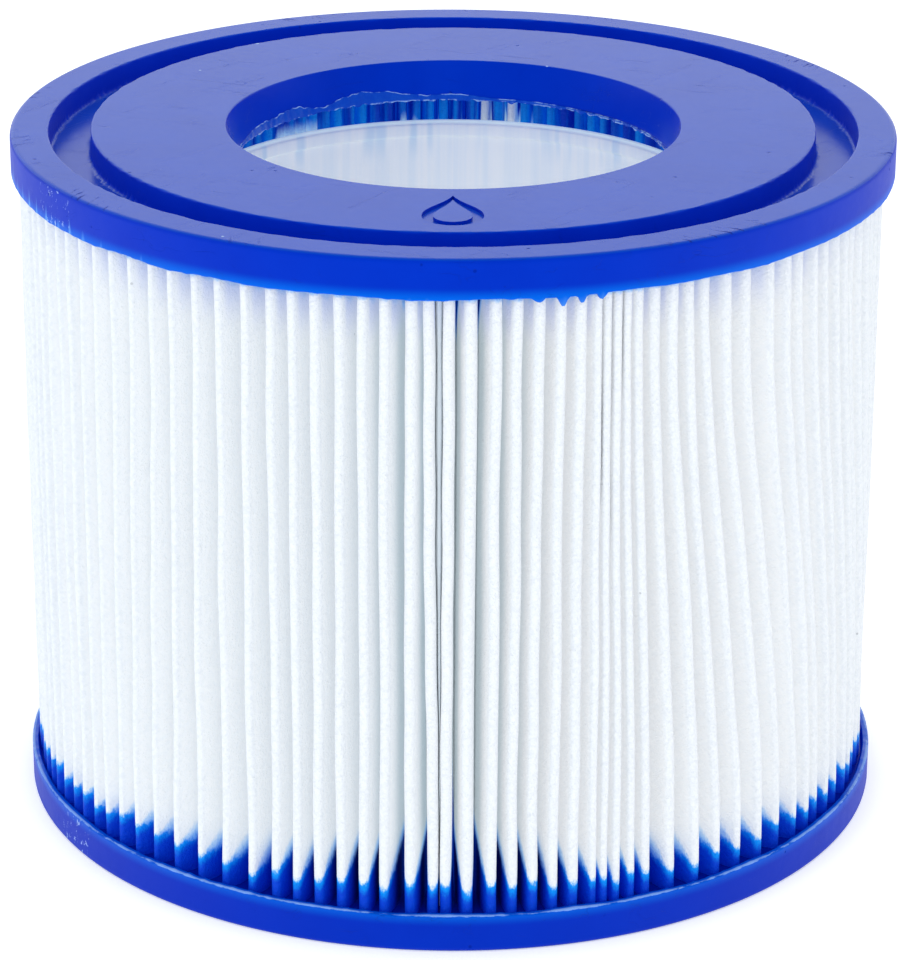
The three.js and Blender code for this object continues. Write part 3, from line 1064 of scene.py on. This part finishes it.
def make_floor():
    """A white floor, lit a little from within as a light table is."""
    half = FLOOR_HALF
    corners = [(-half, -half, 0), (half, -half, 0), (half, half, 0), (-half, half, 0)]
    mesh = bpy.data.meshes.new("floor")
    mesh.from_pydata(corners, [], [(0, 1, 2, 3)])
    floor = bpy.data.objects.new("floor", mesh)
    paint = bpy.data.materials.new("floor_paint")
    paint.use_nodes = True
    shader = paint.node_tree.nodes["Principled BSDF"]
    shader.inputs["Base Color"].default_value = (0.93, 0.93, 0.93, 1)
    shader.inputs["Roughness"].default_value = 0.8
    shader.inputs["Emission Color"].default_value = (1, 1, 1, 1)
    shader.inputs["Emission Strength"].default_value = 0.40
    mesh.materials.append(paint)
    bpy.context.scene.collection.objects.link(floor)


def ranged(tree, value, low, high, out_low=0.0, out_high=1.0, interpolation="LINEAR"):
    """A value mapped from one range to another, in a node tree."""
    node = tree.nodes.new("ShaderNodeMapRange")
    node.interpolation_type = interpolation
    node.inputs["From Min"].default_value = low
    node.inputs["From Max"].default_value = high
    node.inputs["To Min"].default_value = out_low
    node.inputs["To Max"].default_value = out_high
    tree.links.new(value, node.inputs["Value"])
    return node.outputs["Result"]


def make_world():
    """A white studio, bluer at the left, that brightens towards the wall behind the cartridge."""
    world = bpy.data.worlds.new("studio")
    world.use_nodes = True
    tree = world.node_tree
    background = tree.nodes["Background"]
    direction = tree.nodes.new("ShaderNodeTexCoord").outputs["Generated"]
    parts = tree.nodes.new("ShaderNodeSeparateXYZ")
    tree.links.new(direction, parts.inputs["Vector"])
    strength = ranged(tree, parts.outputs["Y"], 0.3, 0.95, 0.95, 1.16, "SMOOTHSTEP")
    tree.links.new(strength, background.inputs["Strength"])
    tint = tree.nodes.new("ShaderNodeMix")
    tint.data_type = "RGBA"
    left_tint, right_tint = [socket for socket in tint.inputs if socket.type == "RGBA"]
    left_tint.default_value = (0.87, 0.935, 1.0, 1)
    right_tint.default_value = (0.895, 0.905, 0.925, 1)
    rightward = ranged(tree, parts.outputs["X"], -0.6, 0.8)
    tree.links.new(rightward, tint.inputs["Factor"])
    mixed = next(socket for socket in tint.outputs if socket.type == "RGBA")
    tree.links.new(mixed, background.inputs["Color"])
    world.light_settings.distance = AMBIENT_REACH * MM
    bpy.context.scene.world = world


set_up_light_transport()
make_camera()
make_floor()
make_world()
area_light("key", place=(-0.7, -0.75, 0.75), size=0.35, power=0.95)
area_light("front", place=(0.15, -1.4, 0.45), size=0.5, power=0.95)

heights, ways = pleated_media(media_felt())
media_seam(seam_adhesive(), heights, ways)
core_tube(core_plastic())
resin = cap_resin()
crest_tops = [way[0] for way in ways]
lower = end_cap("cap_bottom", "bottom_end_cap", resin, upturned=False, drip_angle=150.0,
                crests=[], seed=5)
upper = end_cap("cap_top", "top_end_cap", resin, upturned=True, drip_angle=14.5,
                crests=crest_tops, seed=8)
cut_mark(upper)
shade(lower, 40)
shade(upper, 40)
bore_flash(resin_film())
